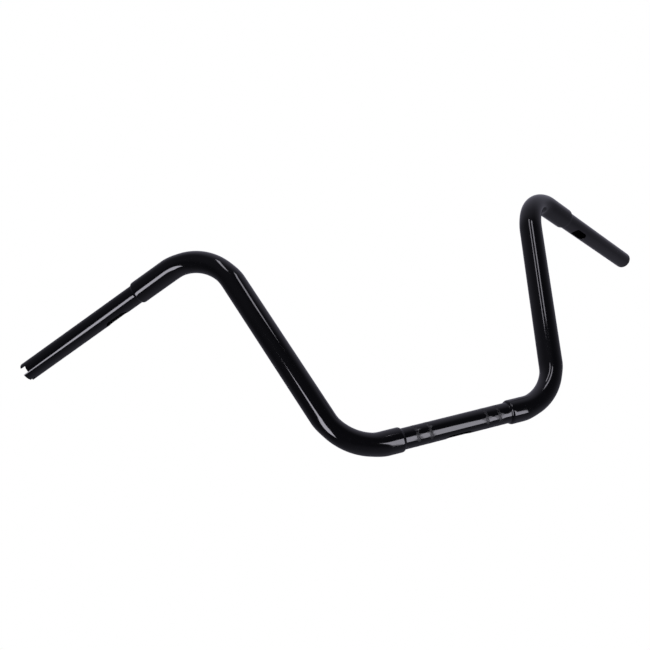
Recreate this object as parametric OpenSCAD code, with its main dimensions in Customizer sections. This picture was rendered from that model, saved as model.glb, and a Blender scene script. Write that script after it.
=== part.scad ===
// Ape hanger handlebar: a fat bent tube on each side of a thin clamp tube, with a thin
// grip tube at each top end. All sizes are in millimetres and degrees.
// Origin: the middle of the clamp tube. +X runs along the clamp tube to the rider's left,
// +Y points back to the rider, +Z points up. The right-hand side (-X) carries the throttle.

/* [Tubes] */

// Outside diameter of the thin tubes that the risers, levers and grips fasten to
thin_diameter = 25.4; // [24:0.1:26]
// Wall of the thin tubes
thin_wall = 2.4; // [1.6:0.1:3.2]
// Outside diameter of the fat tubes
fat_diameter = 30; // [29:0.5:36]
// How much smaller in radius a thin tube's hidden spigot is than the thin tube
spigot_step = 0.3; // [0.2:0.05:0.5]
// Gap between a spigot and the fat tube's bore around it, per side
spigot_clearance = 0.05; // [0.02:0.01:0.1]
// How far each clamp tube spigot goes into its fat tube
clamp_spigot_length = 14; // [8:0.5:16]
// How far each grip tube spigot goes into its fat tube
grip_spigot_length = 30; // [15:1:40]
// Length of the rounded shoulder at each end of a fat tube
shoulder_length = 3.5; // [3:0.25:6]
// How much wider in radius a grip tube's bore is inside its spigot
spigot_bore_relief = 0.25; // [0.2:0.05:0.5]
// How much the fat tube's wall thins at each face where it is bent
bend_thinning = 0.05; // [0.02:0.01:0.15]
// Thickness left at the shoulder's foot, where it meets the thin tube
shoulder_lip = 0.35; // [0.2:0.05:0.8]

/* [Shape of the bar] */

// Length of clamp tube that shows between the two fat tubes
clamp_length = 141.8; // [120:0.2:150]
// Straight length of fat tube between the clamp tube and each lower bend
lower_fat_length = 19.2; // [15:0.1:40]
// Lean of each upright outwards from the vertical
upright_lean = 16.2; // [8:0.2:24]
// Height of the upper bends' corner point over the clamp tube
rise = 298.5; // [250:0.5:400]
// Centre line radius of the two lower bends
lower_bend_radius = 68.5; // [55:0.5:75]
// Centre line radius of the two upper bends
upper_bend_radius = 68; // [55:0.5:75]
// Angle that each grip turns back towards the rider, seen from above
pull_back = 36.4; // [20:0.2:50]
// Angle that each grip slopes down towards its end
grip_drop = 9.4; // [0:0.2:16]
// Straight length of fat tube after each upper bend
upper_fat_length = 51; // [44:0.5:80]
// Length of throttle grip tube that shows
throttle_grip_length = 188; // [150:1:230]
// Length of clutch grip tube that shows
clutch_grip_length = 210; // [150:1:240]

/* [Wire slots] */

// Length of the slot under the middle of the clamp tube, over its round ends
centre_slot_length = 33; // [20:0.5:40]
// Width of the slot under the clamp tube
centre_slot_width = 11; // [6:0.5:12]
// Length of the slot under each grip tube, over its round ends
grip_slot_length = 33; // [20:0.5:40]
// Width of the slot under each grip tube
grip_slot_width = 13; // [8:0.5:14]
// From the fat tube's end to the throttle grip's slot
throttle_slot_start = 24.5; // [15:0.5:50]
// From the fat tube's end to the clutch grip's slot
clutch_slot_start = 27; // [15:0.5:50]
// Direction of the throttle grip's slot, turned from the front of the tube (0) past below (90)
throttle_slot_direction = 106; // [60:1:120]
// Direction of the clutch grip's slot, turned from the front of the tube (0) past below (90)
clutch_slot_direction = 97; // [60:1:120]

/* [Ends] */

// Depth of the notches in the throttle grip tube's end
notch_depth = 7.5; // [4:0.5:12]
// Width of the two wide notches
wide_notch_width = 9.7; // [6:0.1:11]
// Width of the two narrow notches
narrow_notch_width = 4.4; // [3:0.1:6]
// Direction of the first wide notch, turned from the front of the tube (0) to its underside (90)
notch_direction = 11.5; // [0:0.5:45]
// Rounding of the outer edge at the clutch grip tube's end
end_rounding = 1.2; // [0.4:0.1:1.4]

/* [Hidden] */

$fn = 96;

steel = "#141416";
// how far a cutter runs past the faces that it cuts
past = 1;
// how far the straight tube's full wall runs into each bend
bend_seat = 0.3;

thin_radius = thin_diameter / 2;
thin_bore = thin_radius - thin_wall;
fat_radius = fat_diameter / 2;
spigot_radius = thin_radius - spigot_step;
fat_bore = spigot_radius + spigot_clearance;

// the shoulder is an arc from the fat radius down to the lip around the thin tube
shoulder_drop = fat_radius - thin_radius - shoulder_lip;
shoulder_radius = (shoulder_length * shoulder_length + shoulder_drop * shoulder_drop)
                  / (2 * shoulder_drop);

// directions of the upright's and the grip's centre lines on the clutch side
upright = [sin(upright_lean), 0, cos(upright_lean)];
grip = [cos(grip_drop) * cos(pull_back), cos(grip_drop) * sin(pull_back), -sin(grip_drop)];

// turn of each bend, and the length that it takes from the straight lines at its corner
lower_turn = 90 - upright_lean;
upper_turn = acos(upright * grip);
lower_tangent = lower_bend_radius * tan(lower_turn / 2);
upper_tangent = upper_bend_radius * tan(upper_turn / 2);

// from the middle to where the base line and an upright's line would cross
base_half_width = clamp_length / 2 + lower_fat_length + lower_tangent;
// straight length of each upright
upright_length = rise / cos(upright_lean) - lower_tangent - upper_tangent;
// a spigot stops short of its fat tube's bend
clamp_spigot = min(clamp_spigot_length, lower_fat_length - 1);
grip_spigot = min(grip_spigot_length, upper_fat_length - 1);

// sideways directions carried along the centre line, to find how far the bar rolls about it
// between its two bends
inward = [-cos(upright_lean), 0, sin(upright_lean)];
upper_roll = atan2(-grip[1], grip * inward);
bend_normal = cross(upright, grip) / sin(upper_turn);
bend_inward = (grip * cos(upper_turn) - upright) / sin(upper_turn);
grip_down_raw = [0, 0, -1] + grip[2] * grip;
grip_down = grip_down_raw / norm(grip_down_raw);
// turn about the grip's line that points a cutter to the front of the grip
grip_front = atan2(grip_down * bend_normal, grip_down * bend_inward) - 90;

// a tube bent along an arc, starting at the origin along +Z and turning towards +X
module bent_tube(bend_radius, turn) {
    translate([bend_radius, 0, 0])
        rotate([-90, 0, 0])
            rotate([0, 0, 180])
                rotate_extrude(angle = turn)
                    translate([bend_radius, 0])
                        difference() {
                            circle(r = fat_radius - bend_thinning);
                            circle(r = fat_bore + bend_thinning);
                        }
}

// moves its children to the end of such a bend
module after_bend(bend_radius, turn) {
    translate([bend_radius, 0, 0])
        rotate([0, turn, 0])
            translate([-bend_radius, 0, 0])
                children();
}

// the lower end of the clutch side's fat tube, with +Z along the clamp tube
module at_lower_end() {
    translate([clamp_length / 2, 0, 0])
        rotate([0, 90, 0])
            rotate([0, 0, 180])
                children();
}

// from the fat tube's lower end to the start of its upper bend
module to_upper_bend() {
    translate([0, 0, lower_fat_length])
        after_bend(lower_bend_radius, lower_turn)
            translate([0, 0, upright_length])
                rotate([0, 0, upper_roll])
                    children();
}

// from the fat tube's lower end to its upper end, with +Z along the grip
module to_upper_end() {
    to_upper_bend()
        after_bend(upper_bend_radius, upper_turn)
            translate([0, 0, upper_fat_length])
                children();
}

// straight fat tube along +Z whose first end has the rounded shoulder
module shouldered_tube(length) {
    rotate_extrude()
        intersection() {
            translate([fat_bore, 0])
                square([fat_radius - fat_bore, length]);
            union() {
                translate([fat_radius - shoulder_radius, shoulder_length])
                    circle(r = shoulder_radius);
                translate([0, shoulder_length])
                    square([fat_radius, length]);
            }
        }
}

// fat tube of the clutch side, from the clamp tube over both bends to the grip
module riser_tube() {
    at_lower_end() {
        shouldered_tube(lower_fat_length + bend_seat);
        translate([0, 0, lower_fat_length]) {
            bent_tube(lower_bend_radius, lower_turn);
            after_bend(lower_bend_radius, lower_turn)
                translate([0, 0, -bend_seat])
                    difference() {
                        cylinder(r = fat_radius, h = upright_length + 2 * bend_seat);
                        translate([0, 0, -past])
                            cylinder(r = fat_bore, h = upright_length + 2 * bend_seat + 2 * past);
                    }
        }
        to_upper_bend()
            bent_tube(upper_bend_radius, upper_turn);
        to_upper_end()
            mirror([0, 0, 1])
                shouldered_tube(upper_fat_length + bend_seat);
    }
}

// a slot with round ends through the tube wall on the +X side, starting at z = 0
module slot_cutter(length, width) {
    for (z = [width / 2, length - width / 2])
        translate([0, 0, z])
            rotate([0, 90, 0])
                cylinder(d = width, h = thin_radius + past);
    translate([0, -width / 2, width / 2])
        cube([thin_radius + past, width, length - width]);
}

// a milled notch through the tube wall on the +X side, open at z = 0 and running down
module notch_cutter(width) {
    translate([0, -width / 2, -notch_depth])
        cube([thin_radius + past, width, notch_depth + past]);
}

// thin tube along +Z with its spigot below z = 0; edge rounds its outer end, and 0 leaves it
// square, and the children are cut out of it
module grip_stock(length, edge) {
    difference() {
        rotate_extrude() {
            translate([thin_bore + spigot_bore_relief, -grip_spigot])
                square([spigot_radius - thin_bore - spigot_bore_relief, grip_spigot]);
            translate([thin_bore, 0])
                square([thin_wall, length - edge]);
            if (edge > 0) {
                translate([thin_bore, length - edge])
                    square([thin_wall - edge, edge]);
                translate([thin_radius - edge, length - edge])
                    intersection() {
                        circle(r = edge);
                        square([edge, edge]);
                    }
            }
        }
        children();
    }
}

module clamp_tube() {
    color(steel)
        difference() {
            rotate([0, 90, 0]) {
                cylinder(r = thin_radius, h = clamp_length, center = true);
                cylinder(r = spigot_radius, h = clamp_length + 2 * clamp_spigot, center = true);
            }
            rotate([0, 90, 0])
                cylinder(r = thin_bore, h = clamp_length + 2 * clamp_spigot + 2 * past,
                         center = true);
            translate([-centre_slot_length / 2, 0, 0])
                rotate([0, 90, 0])
                    slot_cutter(centre_slot_length, centre_slot_width);
        }
}

module throttle_riser_tube() {
    color(steel)
        mirror([1, 0, 0])
            riser_tube();
}

module clutch_riser_tube() {
    color(steel)
        riser_tube();
}

module throttle_grip_tube() {
    color(steel)
        mirror([1, 0, 0])
            at_lower_end()
                to_upper_end()
                    grip_stock(throttle_grip_length, 0) {
                        rotate([0, 0, grip_front + throttle_slot_direction])
                            translate([0, 0, throttle_slot_start])
                                slot_cutter(grip_slot_length, grip_slot_width);
                        for (side = [0, 180])
                            translate([0, 0, throttle_grip_length])
                                rotate([0, 0, grip_front + notch_direction + side]) {
                                    notch_cutter(wide_notch_width);
                                    rotate([0, 0, 90])
                                        notch_cutter(narrow_notch_width);
                                }
                    }
}

module clutch_grip_tube() {
    color(steel)
        at_lower_end()
            to_upper_end()
                grip_stock(clutch_grip_length, end_rounding)
                    rotate([0, 0, grip_front + clutch_slot_direction])
                        translate([0, 0, clutch_slot_start])
                            slot_cutter(grip_slot_length, grip_slot_width);
}

clamp_tube();
throttle_riser_tube();
clutch_riser_tube();
throttle_grip_tube();
clutch_grip_tube();
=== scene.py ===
# %% [markdown]
# An ape hanger is a tall motorbike handlebar. This one is five steel tubes welded into one
# bar: a thin tube in the middle that the risers clamp, a fat bent tube on each side, and a thin
# grip tube at each top end. The imported model is loaded first, because every piece made here
# has to lie exactly where its solid lies.

# %% Load the solid model as the frame
import math
import bpy
import bmesh
import numpy as np
from mathutils import Matrix


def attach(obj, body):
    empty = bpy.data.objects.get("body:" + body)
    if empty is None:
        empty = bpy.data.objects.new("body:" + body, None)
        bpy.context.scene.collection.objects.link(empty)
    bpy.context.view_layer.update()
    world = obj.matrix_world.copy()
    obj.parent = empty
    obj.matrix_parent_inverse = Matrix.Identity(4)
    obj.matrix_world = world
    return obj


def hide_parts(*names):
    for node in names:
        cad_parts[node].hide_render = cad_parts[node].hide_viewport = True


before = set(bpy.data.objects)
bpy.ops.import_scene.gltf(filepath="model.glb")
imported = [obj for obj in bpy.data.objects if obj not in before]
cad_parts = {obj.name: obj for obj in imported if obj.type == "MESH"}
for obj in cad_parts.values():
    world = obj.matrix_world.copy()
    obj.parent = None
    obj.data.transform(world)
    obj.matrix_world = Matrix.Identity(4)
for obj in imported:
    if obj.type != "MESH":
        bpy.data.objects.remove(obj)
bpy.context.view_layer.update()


# %% [markdown]
# The camera comes next. It could be placed by eye, but a bar is all long lines, and they show
# a wrong view at once. So its place was worked out backwards: the outlines of all the tubes in
# the photograph were matched, and one camera fits them within a third of a pixel. It stands
# low in front of the bar, a little to the rider's right, and looks up.

# %% Camera
camera_data = bpy.data.cameras.new("camera")
sensor_mm, focal_pixels, picture_pixels = 36.0, 843.8, 650.0
camera_data.sensor_width = sensor_mm
camera_data.lens = sensor_mm * focal_pixels / picture_pixels
camera_data.clip_start = 0.02
camera_data.clip_end = 60.0
camera = bpy.data.objects.new("camera", camera_data)
bpy.context.scene.collection.objects.link(camera)
bpy.context.scene.camera = camera

eye = np.array([-0.4323, -0.9103, -0.2043])
right = np.array([0.93334, -0.20586, -0.29412])
down = np.array([-0.18705, 0.42044, -0.88783])
ahead = np.cross(right, down)
pose = np.eye(4)
pose[:3, 0], pose[:3, 1], pose[:3, 2], pose[:3, 3] = right, -down, -ahead, eye
camera.matrix_world = Matrix(pose.tolist())
print("camera at", eye, "looking along", ahead.round(3))

# %% [markdown]
# All sizes of the bar are set down once, in millimetres and degrees, as a tube bender's sheet
# gives them: tube radii, straight lengths, bend radii and angles. Small things, such as the
# wire slots, the notches and the knurled bands, get theirs where they are made.

# %% Sizes of the bar
mm = 0.001
THIN, THIN_BORE = 12.7, 10.3
SPIGOT, FAT_BORE, FAT = 12.4, 12.45, 15.0
CLAMP_LENGTH, CLAMP_SPIGOT = 141.8, 14.0
GRIP_SPIGOT, SPIGOT_RELIEF = 30.0, 0.25
LEAN, RISE, LOWER_STRAIGHT = math.radians(16.2), 298.5, 19.2
LOWER_BEND, UPPER_BEND, UPPER_STRAIGHT = 68.5, 68.0, 51.0
PULL_BACK, DROP = math.radians(36.4), math.radians(9.4)
THROTTLE_LENGTH, CLUTCH_LENGTH = 188.0, 210.0
SHOULDER, LIP = 3.5, 0.35

upright = np.array([math.sin(LEAN), 0.0, math.cos(LEAN)])
grip = np.array([math.cos(DROP) * math.cos(PULL_BACK), math.cos(DROP) * math.sin(PULL_BACK),
                 -math.sin(DROP)])
lower_turn = math.pi / 2 - LEAN
upper_turn = math.acos(upright @ grip)
lower_tangent = LOWER_BEND * math.tan(lower_turn / 2)
upper_tangent = UPPER_BEND * math.tan(upper_turn / 2)
BASE_HALF = CLAMP_LENGTH / 2 + LOWER_STRAIGHT + lower_tangent
upright_straight = RISE / math.cos(LEAN) - lower_tangent - upper_tangent
print("bends turn", round(math.degrees(lower_turn), 1), "and",
      round(math.degrees(upper_turn), 1), "degrees; upright is straight for",
      round(upright_straight, 1), "mm")

# %% [markdown]
# A bent tube is a ring carried along a line. The line is straight, then an arc, then straight
# again, and so on. At each station three arrows ride along: one forwards and two across. They
# are turned only as the bend turns them, so the ring never twists and its quads stay straight
# along the tube. Blender's curve objects could sweep a circle too, but a worked-out path also
# lets the ring be squashed in the bends, as a real bent tube is.

# %% Stations along the bar's centre line
def turned(vectors, axis, angles):
    """Each vector turned about a unit axis by each angle (Rodrigues' formula): the part along
    the axis stays, and the rest is cos times itself plus sin times axis cross itself."""
    c, s = np.cos(angles)[:, None], np.sin(angles)[:, None]
    along = (vectors @ axis) * axis
    return along + c * (vectors - along) + s * np.cross(axis, vectors)


BEND_SQUASH, SQUASH_EASE = 0.08, 0.22
SQUASH, RUN = 15, 16


class Line:
    """A centre line built piece by piece from a start and three arrows: across x, across y and
    forwards z. It keeps a row per station: place, arrows and squash direction (three numbers
    each), then the squash in column SQUASH and the distance run in column RUN."""

    def __init__(self, start, x, y, z):
        self.at, self.x, self.y, self.z = (np.array(v, float) for v in (start, x, y, z))
        self.rows = []
        self.run = 0.0

    def add(self, place, x, y, z, flat, squash, run):
        self.rows.append(np.hstack([place, x, y, z, flat, squash[:, None], run[:, None]]))
        self.at, self.x, self.y, self.z = place[-1], x[-1], y[-1], z[-1]
        self.run = float(run[-1])

    def straight(self, steps):
        """place = start + z * step, with the arrows unchanged."""
        steps = np.asarray(steps, float)
        one = np.ones((len(steps), 1))
        self.add(self.at + steps[:, None] * self.z, one * self.x, one * self.y, one * self.z,
                 one * self.x, np.zeros(len(steps)), self.run + steps)

    def bend(self, radius, turn, roll, count):
        """An arc towards the direction cos(roll) x + sin(roll) y. The squash grows from 0 at
        each end of the arc to its full value over the share SQUASH_EASE of the arc."""
        t = np.linspace(0.0, 1.0, count)
        inward = math.cos(roll) * self.x + math.sin(roll) * self.y
        axis = np.cross(self.z, inward)
        angles = t * turn
        centre = self.at + radius * inward
        flat = turned(inward, axis, angles)
        ease = np.clip(np.minimum(t, 1 - t) / SQUASH_EASE, 0, 1)
        self.add(centre - radius * flat, turned(self.x, axis, angles),
                 turned(self.y, axis, angles), turned(self.z, axis, angles), flat,
                 BEND_SQUASH * ease * ease * (3 - 2 * ease), self.run + angles * radius)

    def stations(self):
        """All rows, without the ones that repeat the end of the piece before."""
        rows = np.vstack(self.rows)
        keep = np.r_[True, np.diff(rows[:, RUN]) > 1e-6]
        return rows[keep]


def riser_line():
    """Centre line of the clutch side's fat tube, starting at the clamp tube's shoulder:
    straight, an arc up, straight, an arc back and down, straight."""
    line = Line([CLAMP_LENGTH / 2, 0, 0], [0, 0, 1], [0, -1, 0], [1, 0, 0])
    ends = SHOULDER * (1 - np.cos(np.linspace(0, np.pi / 2, 12)))
    line.straight(np.r_[ends, np.linspace(SHOULDER, LOWER_STRAIGHT, 8)[1:]])
    line.bend(LOWER_BEND, lower_turn, 0.0, 64)
    line.straight(np.linspace(0, upright_straight, 40))
    inward = np.array([-math.cos(LEAN), 0.0, math.sin(LEAN)])
    line.bend(UPPER_BEND, upper_turn, math.atan2(-grip[1], grip @ inward), 72)
    line.straight(np.r_[np.linspace(0, UPPER_STRAIGHT - SHOULDER, 16),
                        UPPER_STRAIGHT - ends[::-1][1:]])
    return line


riser = riser_line()
stations = riser.stations()
print("fat tube:", len(stations), "stations over", round(riser.run, 1), "mm")

# %% [markdown]
# Every tube is a hollow shell: an outer skin, an end face, a bore and another end face. One
# closed outline of the wall, walked round from the outside to the inside, gives all four at
# once. Each point of the outline is a station and a radius, and each becomes a ring, so the
# whole shell is one grid that closes on itself both ways. The faces are sorted as they are
# made: those of the bore get a second finish, because a coat thins out inside a tube.

# %% Grids of points become one mesh
WELD, SHARP = 2e-6, 35


class Shell:
    """Collects grids of points, in millimetres, and welds them into one mesh in metres."""

    def __init__(self):
        self.points, self.faces, self.inside, self.count = [], [], [], 0

    def grid(self, points, inside=None, close_rows=False, close_columns=True, leave_out=None):
        """Quads between neighbours of a rows x columns grid of points. leave_out is true for
        the cells that stay open, and inside is true for the rows that belong to the bore."""
        rows, columns = points.shape[:2]
        i = np.arange(rows if close_rows else rows - 1)
        j = np.arange(columns if close_columns else columns - 1)
        i, j = [a.ravel() for a in np.meshgrid(i, j, indexing="ij")]
        keep = np.ones(len(i), bool) if leave_out is None else ~leave_out[i, j]
        i, j = i[keep], j[keep]
        i2, j2 = (i + 1) % rows, (j + 1) % columns
        quads = np.stack([i * columns + j, i * columns + j2, i2 * columns + j2,
                          i2 * columns + j], 1)
        self.points.append(points.reshape(-1, 3))
        self.faces.append(quads + self.count)
        self.inside.append(np.zeros(len(i), bool) if inside is None else inside[i])
        self.count += rows * columns

    def piece(self, name, materials):
        """The welded mesh as an object that rides on the bar's one body. Points closer than
        WELD become one, and edges sharper than SHARP degrees stay crisp."""
        mesh = bpy.data.meshes.new(name)
        mesh.from_pydata(np.vstack(self.points) * mm, [], np.vstack(self.faces).tolist())
        mesh.polygons.foreach_set("material_index",
                                  np.concatenate(self.inside).astype(np.int32))
        mesh.polygons.foreach_set("use_smooth", np.ones(len(mesh.polygons), bool))
        bm = bmesh.new()
        bm.from_mesh(mesh)
        bmesh.ops.remove_doubles(bm, verts=bm.verts, dist=WELD)
        loose = [v for v in bm.verts if not v.link_faces]
        bmesh.ops.delete(bm, geom=loose, context="VERTS")
        open_edges = sum(1 for e in bm.edges if not e.is_manifold)
        volume = bm.calc_volume(signed=True)
        bm.to_mesh(mesh)
        bm.free()
        mesh.set_sharp_from_angle(angle=math.radians(SHARP))
        for material in materials:
            mesh.materials.append(material)
        thing = bpy.data.objects.new(name, mesh)
        bpy.context.scene.collection.objects.link(thing)
        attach(thing, "root")
        print(f"{name}: {len(mesh.polygons)} faces, {open_edges} open edges, "
              f"{volume * 1e9:.0f} mm3")
        return thing


# %% [markdown]
# A bent tube needs no more than one ring at each station. The ring is a circle across the
# line, and in a bend it is squashed a little along the arrow to the bend's centre. A fat
# tube's ring has 128 points and a grip tube's 160, so that no corner shows in the outline. The
# clamp tube's has 360, because its knurling has 60 teeth round it.

# %% Rings round the stations
FAT_COLUMNS, GRIP_COLUMNS, CLAMP_COLUMNS = 128, 160, 360


def rings(rows, radii, angles):
    """Rings round the stations: place + radius * e, where e = cos(angle) x + sin(angle) y,
    less squash times its share along the squash direction."""
    x, y, flat, squash = rows[:, 3:6], rows[:, 6:9], rows[:, 12:15], rows[:, SQUASH]
    e = np.cos(angles)[None, :, None] * x[:, None] + np.sin(angles)[None, :, None] * y[:, None]
    share = (e * flat[:, None]).sum(-1, keepdims=True)
    e = e - squash[:, None, None] * share * flat[:, None]
    return rows[:, None, :3] + np.asarray(radii)[:, None, None] * e

# %% [markdown]
# The finish comes before the tubes, because each tube takes it as it is made. In Blender a
# finish is a tree of nodes joined by links, and sums are hard to read there. So a small class
# stands for a node's output and lets it be used in a plain sum, and one method makes every
# other node.

# %% A small helper for shader sums
class Value:
    """A shader socket that can be used in sums: + and * add Math nodes."""

    def __init__(self, nodes, socket):
        self.nodes, self.socket = nodes, socket

    def math(self, operation, a, b):
        return self.nodes.make("ShaderNodeMath", {"operation": operation}, {0: a, 1: b})

    def __add__(self, other):
        return self.math("ADD", self, other)

    def __mul__(self, other):
        return self.math("MULTIPLY", self, other)

    __radd__, __rmul__ = __add__, __mul__


class Nodes:
    """A material's or a world's node tree, emptied, with one method that makes any node."""

    def __init__(self, owner):
        owner.use_nodes = True
        self.tree = owner.node_tree
        self.tree.nodes.clear()

    def make(self, kind, settings=None, inputs=None, out=0):
        """A node of a kind: its settings first, then the values or links of its sockets."""
        node = self.tree.nodes.new(kind)
        for key, value in (settings or {}).items():
            setattr(node, key, value)
        for key, value in (inputs or {}).items():
            if isinstance(value, Value):
                self.tree.links.new(value.socket, node.inputs[key])
            else:
                node.inputs[key].default_value = value
        return Value(self, node.outputs[out]) if len(node.outputs) else node


def mix_colour(nodes, factor, a, b):
    """The colour between a and b at factor."""
    return nodes.make("ShaderNodeMix", {"data_type": "RGBA"}, {0: factor, 6: a, 7: b}, out=2)

# %% [markdown]
# The bar is powder coated in gloss black. Powder melts and flows, but never quite flat, so the
# coat has a fine ripple called orange peel, about a millimetre from crest to crest and only
# microns high. It is too fine for the mesh, so a bump makes it. Black hides colour, and the
# eye reads such a coat by its reflections alone: the roughness wanders a little, as it does on
# a real coat that has been handled and wiped. In the bores the coat is thin, rough and dull.

# %% Gloss black powder coat
def powder_coat(name, base, lighter, gloss, ripple):
    """Near-black dielectric: colour drifts between base and lighter, roughness between the two
    values of gloss, and the bump is orange peel of about 1.1 mm over a slow 9 mm swell."""
    material = bpy.data.materials.new(name)
    nodes = Nodes(material)
    place = nodes.make("ShaderNodeTexCoord", out=3)

    def noise(scale, detail, rough):
        return nodes.make("ShaderNodeTexNoise", {"noise_dimensions": "3D"},
                          {"Vector": place, "Scale": scale, "Detail": detail,
                           "Roughness": rough})

    drift = noise(28.0, 3.0, 0.55)
    peel = noise(900.0, 2.0, 0.5)
    swell = noise(110.0, 1.0, 0.4)
    grain = noise(5200.0, 1.0, 0.5)
    height = peel * 0.75 + swell * 0.9 + grain * 0.06
    bump = nodes.make("ShaderNodeBump", None,
                      {"Strength": 1.0, "Distance": ripple, "Height": height})
    roughness = gloss[0] + (gloss[1] - gloss[0]) * (drift * 0.7 + grain * 0.3)
    surface = nodes.make("ShaderNodeBsdfPrincipled", None,
                         {"Base Color": mix_colour(nodes, drift, base, lighter),
                          "Roughness": roughness, "IOR": 1.5, "Normal": bump})
    nodes.make("ShaderNodeOutputMaterial", None, {"Surface": surface})
    return material


coat = powder_coat("gloss_black_coat", (0.0006, 0.0006, 0.0008, 1), (0.0016, 0.0016, 0.0020, 1),
                   (0.05, 0.09), 0.000002)
bore_coat = powder_coat("thin_coat_in_bore", (0.0012, 0.0012, 0.0014, 1),
                        (0.0060, 0.0058, 0.0058, 1), (0.42, 0.62), 0.00002)
print("finishes:", coat.name, "and", bore_coat.name)

# %% [markdown]
# The fat tubes are the plainest shells: the stations of the centre line with the full radius,
# drawn in to a small lip at each end along an arc. That rounded shoulder is what catches the
# light in the photograph where the bar steps down.

# %% Fat riser tubes
def shoulder_radius(distance):
    """Outer radius at a distance from the tube's end: an arc from the lip up to FAT, so
    FAT - R + sqrt(R^2 - (SHOULDER - distance)^2)."""
    drop = FAT - THIN - LIP
    arc = (SHOULDER ** 2 + drop ** 2) / (2 * drop)
    left = np.clip(SHOULDER - distance, 0, None)
    return FAT - arc + np.sqrt(arc ** 2 - left ** 2)


def fat_tube(name, side):
    """The outer skin up the line and the bore back down it, with every third station kept in
    the bore. The throttle's side (-1) is the mirror image, with its rings run backwards."""
    run = stations[:, RUN]
    outer = shoulder_radius(np.minimum(run, riser.run - run))
    angles = np.linspace(0, 2 * np.pi, FAT_COLUMNS, endpoint=False)
    bore = stations[::-3]
    if len(stations) % 3 != 1:
        bore = np.vstack([bore, stations[:1]])
    rows = np.vstack([stations, bore])
    points = rings(rows, np.r_[outer, np.full(len(bore), FAT_BORE)], angles) * [side, 1, 1]
    inside = np.arange(len(rows)) >= len(outer)
    inside[-1] = False
    shell = Shell()
    shell.grid(points[:, ::side], inside=inside, close_rows=True)
    piece = shell.piece(name, [coat, bore_coat])
    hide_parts(name)


fat_tube("clutch_riser_tube", 1)
fat_tube("throttle_riser_tube", -1)

# %% [markdown]
# The thin tubes are shells too, but they have holes: a long slot underneath each one for the
# wires, and notches in the throttle's end. A boolean would cut them, and leave long thin
# triangles that shade badly. Instead some cells of the grid are left out, which is easiest
# while the tube is still unrolled: every point is a distance along the tube, an angle and a
# radius. A slot has round ends, so a rectangular window is left out, and rings of points fill
# it: from the window's border to the slot's rim, over a small rounding, down through the wall,
# and out again in the bore.

# %% Slots on an unrolled tube
SLOT_ROUNDING = 0.5
SKIN_RINGS, ROUNDING_RINGS, BORE_RINGS = 7, 4, 6


def window_border(s, angles):
    """The outline of a window, once round, as rows of distance and angle."""
    return np.vstack([
        np.stack([np.full(len(angles) - 1, s[0]), angles[:-1]], 1),
        np.stack([s[:-1], np.full(len(s) - 1, angles[-1])], 1),
        np.stack([np.full(len(angles) - 1, s[-1]), angles[:0:-1]], 1),
        np.stack([s[:0:-1], np.full(len(s) - 1, angles[0])], 1)])


def slot_patch(s, angles, bore_angles, centre, length, width):
    """Rings from the window outside to the window in the bore. A slot's rim holds the points
    at one distance from its middle segment, in the directions of the window's border; the
    distance grows by SLOT_ROUNDING over the rounding."""
    out, bore = window_border(s, angles), window_border(s, bore_angles)
    half = (length - width) / 2
    along = np.clip(out[:, 0] - centre, -half, half)
    way = np.stack([out[:, 0] - centre - along, THIN * out[:, 1]], 1)
    way /= np.linalg.norm(way, axis=1, keepdims=True)

    def rim(distance, radius):
        """The slot's walls are flat and parallel, so the angle is asin(sideways / radius)."""
        return np.stack([centre + along + distance * way[:, 0],
                         np.arcsin(distance * way[:, 1] / radius),
                         np.full(len(out), radius)], 1)

    edge = SLOT_ROUNDING
    skin = np.column_stack([out, np.full(len(out), THIN)])
    lining = np.column_stack([bore, np.full(len(bore), THIN_BORE)])
    top, foot = rim(width / 2 + edge, THIN), rim(width / 2 + edge, THIN_BORE)
    turn = np.linspace(0, math.pi / 2, ROUNDING_RINGS + 1)[1:]
    layers = [skin * (1 - t) + top * t for t in np.linspace(0, 1, SKIN_RINGS)]
    layers += [rim(width / 2 + edge * (1 - math.sin(a)), THIN - edge * (1 - math.cos(a)))
               for a in turn]
    layers += [rim(width / 2 + edge * (1 - math.sin(a)), THIN_BORE + edge * (1 - math.cos(a)))
               for a in turn[::-1]]
    layers += [foot * (1 - t) + lining * t for t in np.linspace(0, 1, BORE_RINGS)]
    return np.array(layers)

# %% [markdown]
# A notch is simpler than a slot, because its sides run straight along the tube, as the grid's
# columns do. So the nearest columns are moved onto its sides, and the cells between them are
# left out. The sides are parallel, and the bore is narrower than the skin, so the same notch
# takes up more of the bore's turn, and its columns are spread there.

# %% Columns beside the notches
NOTCH_SPREAD = 0.3


def column_angles(columns, notches):
    """Angles of the columns outside and in the bore. A notch's side is asin(half its width /
    radius) from its middle, and the spread fades out over NOTCH_SPREAD radians beside it."""
    angles = np.radians(-135) + np.arange(columns) * 2 * np.pi / columns
    bore = angles.copy()
    for middle, width, _ in notches:
        half, wide = math.asin(width / 2 / THIN), math.asin(width / 2 / THIN_BORE)
        reach = half + NOTCH_SPREAD
        for edge in (middle - half, middle + half):
            angles[np.argmin(np.abs(angles - edge))] = edge
        near = np.abs(angles - middle) < reach
        bore[near] = middle + np.interp(angles[near] - middle, [-reach, -half, half, reach],
                                        [-reach, -wide, wide, reach])
    return angles, bore

# %% [markdown]
# Knurling is rolled into the clamp tube in narrow bands, so that the risers can't slip on it.
# Two slanting sets of grooves cross and leave small pyramids, which rise and fall about a
# tenth of a millimetre from the skin's radius. A bump could show them on the skin but not in
# its outline, so they are real shape here.

# %% Knurling
KNURL_PLACES, KNURL_HALF = (-54.5, -37.5, 37.5, 54.5), 2.3
KNURL_TEETH, KNURL_PITCH, KNURL_DEPTH = 60, 1.33, 0.12


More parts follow.
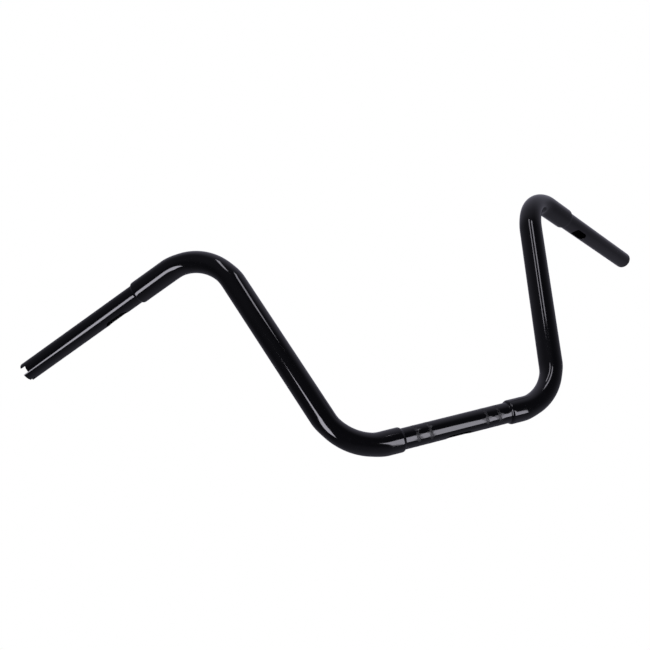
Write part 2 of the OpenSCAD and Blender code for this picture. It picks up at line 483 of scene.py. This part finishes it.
def knurl_height(s, theta):
    """Small pyramids in narrow bands: the lower of two triangle waves over u + v and u - v,
    where u counts teeth round the tube and v counts them along it, faded at the edges."""
    height = np.zeros(np.broadcast(s, theta).shape)
    for middle in KNURL_PLACES:
        u, v = theta * KNURL_TEETH / (2 * np.pi), (s - middle) / KNURL_PITCH
        wave = 2 * np.minimum(np.abs((u + v) % 1 - 0.5), np.abs((u - v) % 1 - 0.5))
        fade = np.clip((KNURL_HALF - np.abs(s - middle)) / 0.5, 0, 1)
        height = height + fade * KNURL_DEPTH * (2 * wave - 1)
    return height

# %% [markdown]
# A thin tube is put together while it is unrolled: its own grid with the windows and notches
# left out, the rings that fill a slot's window, and for each notch two side walls and a floor.
# One formula then rolls all of them up round the tube's line, so their edges meet exactly.

# %% Thin tube
WINDOW_MARGIN, WINDOW_SIDE, WINDOW_TURN = 4.0, 1.2, 0.22


def thin_tube(name, start, along, slot_way, outer, bore, columns, slot, notches=(),
              knurled=False):
    """A shell from start, in the direction along, with its slot facing slot_way. outer and
    bore are rows of distance and radius, and bore runs backwards. A slot is its middle, length
    and width; a notch is its direction, width and floor. A slot's window reaches WINDOW_SIDE
    and then WINDOW_TURN radians past it on each side."""
    across = np.cross(along, slot_way)
    angles, bore_angles = column_angles(columns, notches)
    rows = np.vstack([outer, bore])
    s = np.repeat(rows[:, :1], columns, 1)
    is_bore = np.arange(len(rows)) >= len(outer)
    theta = np.where(is_bore[:, None], bore_angles, angles)
    radius = np.repeat(rows[:, 1:], columns, 1)
    if knurled:
        radius = radius + np.where(is_bore[:, None], 0, knurl_height(s, theta))
    unrolled = np.stack([s, theta, radius], -1)

    def placed(points):
        """start + s along + r (cos(angle) slot_way + sin(angle) across)."""
        s, a, r = points[..., :1], points[..., 1:2], points[..., 2:]
        return start + s * along + r * (np.cos(a) * slot_way + np.sin(a) * across)

    shell = Shell()
    left_out = np.zeros(s.shape, bool)
    middle, length, width = slot
    reach = math.asin((width / 2 + WINDOW_SIDE) / THIN) + WINDOW_TURN
    j = np.flatnonzero(np.abs(angles) < reach)
    window = np.abs(rows[:, 0] - middle) < length / 2 + WINDOW_MARGIN + 0.1
    for part in (window & ~is_bore, window & is_bore):
        i = np.flatnonzero(part)
        left_out[i[0]:i[-1], j[0]:j[-1]] = True
    i = np.flatnonzero(window & ~is_bore)
    shell.grid(placed(slot_patch(rows[i, 0], angles[j], bore_angles[j], *slot)),
               inside=np.arange(SKIN_RINGS + 2 * ROUNDING_RINGS + BORE_RINGS)
               >= SKIN_RINGS + ROUNDING_RINGS)
    for direction, width, floor in notches:
        half = math.asin(width / 2 / THIN)
        a, b = (int(np.argmin(np.abs(angles - direction - turn))) for turn in (-half, half))
        cut = np.flatnonzero(rows[:, 0] > floor - 0.01)
        left_out[cut[0]:cut[-1], a:b] = True
        out, inn = cut[:len(cut) // 2], cut[:len(cut) // 2 - 1:-1]
        for column, pair in ((a, (out, inn)), (b, (inn, out))):
            shell.grid(placed(np.stack([unrolled[k, column] for k in pair], 1)),
                       close_columns=False)
        shell.grid(placed(unrolled[[out[0], inn[0]], a:b + 1]), close_columns=False)
    shell.grid(placed(unrolled), inside=is_bore & (np.arange(len(rows)) < len(rows) - 1),
               close_rows=True, leave_out=left_out)
    piece = shell.piece(name, [coat, bore_coat])
    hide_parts(name)

# %% [markdown]
# What is left are the rows: the distances along a tube where its grid has points, each with a
# radius. They are close together at a slot and at the foot, where a thin tube comes out of a
# fat one. There the real bar has a dark seam and a soft hollow of weld and coat.

# %% Rows of a thin tube
SEAM, FILLET_LENGTH, FILLET_HEIGHT = 0.1, 1.0, 0.3


def rows_between(places, radius):
    """Rows of distance and one radius."""
    return np.stack([places, np.full(len(places), float(radius))], 1)


def window_rows(slot):
    """Where a slot's window has its rows: from the margin before it to the margin after it."""
    reach = slot[1] / 2 + WINDOW_MARGIN
    return np.linspace(slot[0] - reach, slot[0] + reach, 27)


def fillet_rows(at, way):
    """The foot of a thin tube, past the seam: a quarter of an ellipse, hollow side out, that
    starts FILLET_HEIGHT above the skin and meets it FILLET_LENGTH further on."""
    turn = np.radians(np.linspace(0, 90, 6))
    rows = np.stack([at + way * (SEAM + FILLET_LENGTH * (1 - np.cos(turn))),
                     THIN + FILLET_HEIGHT * (1 - np.sin(turn))], 1)
    return rows if way > 0 else rows[::-1]

# %% [markdown]
# The clamp tube is made first. The risers grip it over two pairs of knurled bands, one pair on
# each side of the wire slot, and its grid is finest there. Its ends are spigots: they are a
# little thinner and go into the fat tubes.

# %% Clamp tube
SLOT_LENGTH, CENTRE_SLOT_WIDTH = 33.0, 11.0
centre_slot = (0.0, SLOT_LENGTH, CENTRE_SLOT_WIDTH)
half_clamp = CLAMP_LENGTH / 2
band_rows = [np.linspace(p - KNURL_HALF, p + KNURL_HALF, 22) for p in KNURL_PLACES]
plain_rows = [-66, -62, -46, -28, -23, 23, 28, 46, 62, 66]
outside = np.unique(np.concatenate([window_rows(centre_slot), *band_rows, plain_rows]))
outer = np.vstack([rows_between(np.array([-half_clamp - CLAMP_SPIGOT, -half_clamp + SEAM]),
                                SPIGOT),
                   fillet_rows(-half_clamp, 1), rows_between(outside, THIN),
                   fillet_rows(half_clamp, -1),
                   rows_between(np.array([half_clamp - SEAM, half_clamp + CLAMP_SPIGOT]),
                                SPIGOT)])
bore = rows_between(np.r_[half_clamp + CLAMP_SPIGOT, 60, 35,
                          window_rows(centre_slot)[::-1], -35, -60,
                          -half_clamp - CLAMP_SPIGOT], THIN_BORE)
thin_tube("clamp_tube", np.zeros(3), np.array([1.0, 0, 0]), np.array([0, 0, -1.0]),
          outer, bore, CLAMP_COLUMNS, centre_slot, knurled=True)

# %% [markdown]
# The grip tubes start where the fat tubes end. Their slots face down and a little back, so
# that the wires come out inside the switch housings. The throttle's end is milled: two wide
# notches opposite each other and two narrow ones between them, which an electronic throttle's
# sensor locks into. The other end is plain, with a rounded edge.

# %% Grip tubes
GRIP_SLOT_WIDTH, END_ROUNDING = 13.0, 1.2
THROTTLE_SLOT_START, THROTTLE_SLOT_TURN = 24.5, 106
CLUTCH_SLOT_START, CLUTCH_SLOT_TURN = 27.0, 97
WIDE_NOTCH, NARROW_NOTCH, NOTCH_DEPTH, NOTCH_TURN = 9.7, 4.4, 7.5, 11.5

corner = np.array([BASE_HALF + RISE * math.tan(LEAN), 0.0, RISE])
grip_start = corner + grip * (upper_tangent + UPPER_STRAIGHT)
under = np.array([0, 0, -1.0]) + grip[2] * grip
under /= np.linalg.norm(under)
front = np.cross(under, grip)


def grip_tube(name, side, length, slot_start, slot_turn, notches, end):
    """A grip tube on one side, whose outer rows end with the rows of end. slot_turn is its
    slot's direction, from 0 at the front to 90 degrees underneath."""
    slot_way = (math.cos(math.radians(slot_turn)) * front
                + math.sin(math.radians(slot_turn)) * under)
    slot = (slot_start + SLOT_LENGTH / 2, SLOT_LENGTH, GRIP_SLOT_WIDTH)
    places = np.r_[window_rows(slot), np.arange(slot[0] + slot[1] / 2 + 10,
                                                length - NOTCH_DEPTH - 3, 12)]
    outer = np.vstack([rows_between(np.array([-GRIP_SPIGOT, SEAM]), SPIGOT),
                       fillet_rows(0, 1), rows_between(np.r_[5, 12, 18], THIN),
                       rows_between(places, THIN), end])
    floor = length - NOTCH_DEPTH
    bore = np.vstack([rows_between(np.r_[length, floor, places[::-1], 12, 0], THIN_BORE),
                      rows_between(np.array([0, -GRIP_SPIGOT]), THIN_BORE + SPIGOT_RELIEF)])
    sides = np.array([side, 1.0, 1.0])
    thin_tube(name, grip_start * sides, grip * sides, slot_way * sides,
              outer, bore, GRIP_COLUMNS, slot, notches)


floor = THROTTLE_LENGTH - NOTCH_DEPTH
first = math.radians(THROTTLE_SLOT_TURN - NOTCH_TURN)
notches = [(first, WIDE_NOTCH, floor), (first - math.pi, WIDE_NOTCH, floor),
           (first - math.pi / 2, NARROW_NOTCH, floor),
           (first + math.pi / 2, NARROW_NOTCH, floor)]
grip_tube("throttle_grip_tube", -1, THROTTLE_LENGTH, THROTTLE_SLOT_START, THROTTLE_SLOT_TURN,
          notches, rows_between([floor, THROTTLE_LENGTH], THIN))
turn = np.radians(np.linspace(0, 90, 7))
rounding = np.stack([CLUTCH_LENGTH - END_ROUNDING * (1 - np.sin(turn)),
                     THIN - END_ROUNDING * (1 - np.cos(turn))], 1)
grip_tube("clutch_grip_tube", 1, CLUTCH_LENGTH, CLUTCH_SLOT_START, CLUTCH_SLOT_TURN, [],
          np.vstack([rows_between([CLUTCH_LENGTH - NOTCH_DEPTH], THIN), rounding]))

# %% [markdown]
# Last comes the studio. The photograph has a pure white background, yet the bar's sides
# reflect almost none of it, so the white is only a backdrop behind the bar. The world answers
# twice for that reason. The camera sees plain white, and every other ray sees a dim lavender
# room, a little brighter overhead, behind the bar and towards the floor.

# %% World and floor
world = bpy.data.worlds.new("studio")
bpy.context.scene.world = world
nodes = Nodes(world)
way = nodes.make("ShaderNodeTexCoord", out=0)


def towards(direction, low, high):
    """0 to 1 as a ray's direction turns from cosine low to cosine high against a direction."""
    cosine = nodes.make("ShaderNodeVectorMath", {"operation": "DOT_PRODUCT"},
                        {0: way, 1: tuple(direction)}, out=1)
    return nodes.make("ShaderNodeMapRange", {"interpolation_type": "SMOOTHSTEP"},
                      {"Value": cosine, "From Min": low, "From Max": high})


behind_bar = towards((0.45, 0.85, 0.27), -0.5, 0.6)
overhead = towards((0.50, 0.20, 0.84), 0.5, 1.0)
above_left = towards((-0.50, -0.30, 0.81), 0.4, 0.9)
towards_floor = towards((0.10, 0.10, -0.99), 0.5, 1.0)
backdrop = towards(ahead, math.cos(math.radians(26)), math.cos(math.radians(10)))
strength = (0.048 + 0.12 * behind_bar + 0.22 * overhead + 0.06 * above_left
            + 0.10 * towards_floor + 0.06 * backdrop)
to_camera = nodes.make("ShaderNodeLightPath")
seen = nodes.make("ShaderNodeBackground", None, {"Color": (1, 1, 1, 1), "Strength": 1.0})
lit = nodes.make("ShaderNodeBackground", None, {"Color": (1.0, 0.98, 1.22, 1),
                                                "Strength": strength})
both = nodes.make("ShaderNodeMixShader", None, {0: to_camera, 1: lit, 2: seen})
nodes.make("ShaderNodeOutputWorld", None, {"Surface": both})

floor_material = bpy.data.materials.new("pale_floor")
nodes = Nodes(floor_material)
place = nodes.make("ShaderNodeTexCoord", out=3)
speckle = nodes.make("ShaderNodeTexNoise", None, {"Vector": place, "Scale": 40.0, "Detail": 3.0})
shade = mix_colour(nodes, speckle, (0.72, 0.72, 0.73, 1), (0.78, 0.78, 0.79, 1))
surface = nodes.make("ShaderNodeBsdfPrincipled", None,
                     {"Base Color": shade, "Roughness": 0.8, "Emission Color": shade,
                      "Emission Strength": 0.85})
nodes.make("ShaderNodeOutputMaterial", None, {"Surface": surface})

FLOOR_HALF, FLOOR_HEIGHT = 3, -1.25
corners = [(FLOOR_HALF * x, FLOOR_HALF * y, FLOOR_HEIGHT)
           for x, y in ((-1, -1), (1, -1), (1, 1), (-1, 1))]
floor_mesh = bpy.data.meshes.new("floor")
floor_mesh.from_pydata(corners, [], [(0, 1, 2, 3)])
floor_mesh.materials.append(floor_material)
floor_plane = bpy.data.objects.new("floor", floor_mesh)
bpy.context.scene.collection.objects.link(floor_plane)
floor_plane.visible_glossy = False
print("world", world.name, "and a floor", 2 * FLOOR_HALF, "m wide, at", FLOOR_HEIGHT, "m")

# %% [markdown]
# A gloss tube shows a light as a line along it, wherever the tube's skin points halfway
# between the camera and the light. So each line of the photograph points back at its light.
# Worked out for every bright place, those directions meet at four panels, one to two and a
# half metres from the bar: two large ones low in front, and two narrow ones above. Each is
# given here by its heading from the bar (0 is straight in front, and plus is to the right in
# the picture), its height angle, its size, its lean, its brightness and its distance.

# %% Light panels
bar_middle = np.array([0, 0.05, 0.15])


def panel(name, heading, height, wide, high, lean, brightness, distance):
    """An area light that faces the bar's middle, with one brightness whatever its size."""
    h, e = math.radians(heading), math.radians(height)
    back = np.array([math.cos(e) * math.sin(h), -math.cos(e) * math.cos(h), math.sin(e)])
    side = np.cross([0, 0, 1], back)
    side /= np.linalg.norm(side)
    up = np.cross(back, side)
    lean = math.radians(lean)
    light = bpy.data.lights.new(name, "AREA")
    light.shape, light.size, light.size_y = "RECTANGLE", wide, high
    light.energy = brightness * math.pi * wide * high
    light.color = (1.0, 0.98, 1.10)
    thing = bpy.data.objects.new(name, light)
    bpy.context.scene.collection.objects.link(thing)
    pose = np.eye(4)
    pose[:3, 0] = math.cos(lean) * side + math.sin(lean) * up
    pose[:3, 1] = math.cos(lean) * up - math.sin(lean) * side
    pose[:3, 2], pose[:3, 3] = back, bar_middle + distance * back
    thing.matrix_world = Matrix(pose.tolist())
    print(f"{name}: {wide} x {high} m, {distance} m from the bar")


panel("low_left_panel", -57.1, -19.2, 0.45, 1.62, -44, 8.2, 1.9)
panel("low_right_panel", 27.7, -33.75, 0.59, 1.91, 26.0, 5.55, 2.4)
panel("high_left_panel", -13.8, 45.1, 0.135, 0.82, -23, 5.4, 1.5)
panel("high_right_panel", 12.2, 32.9, 0.15, 0.47, -29, 4.9, 1.15)

# %% [markdown]
# The view transform is the plain one, since a filmic curve would turn the white background
# grey.

# %% Finish
scene = bpy.context.scene
scene.view_settings.view_transform = "Standard"
scene.view_settings.look = "None"
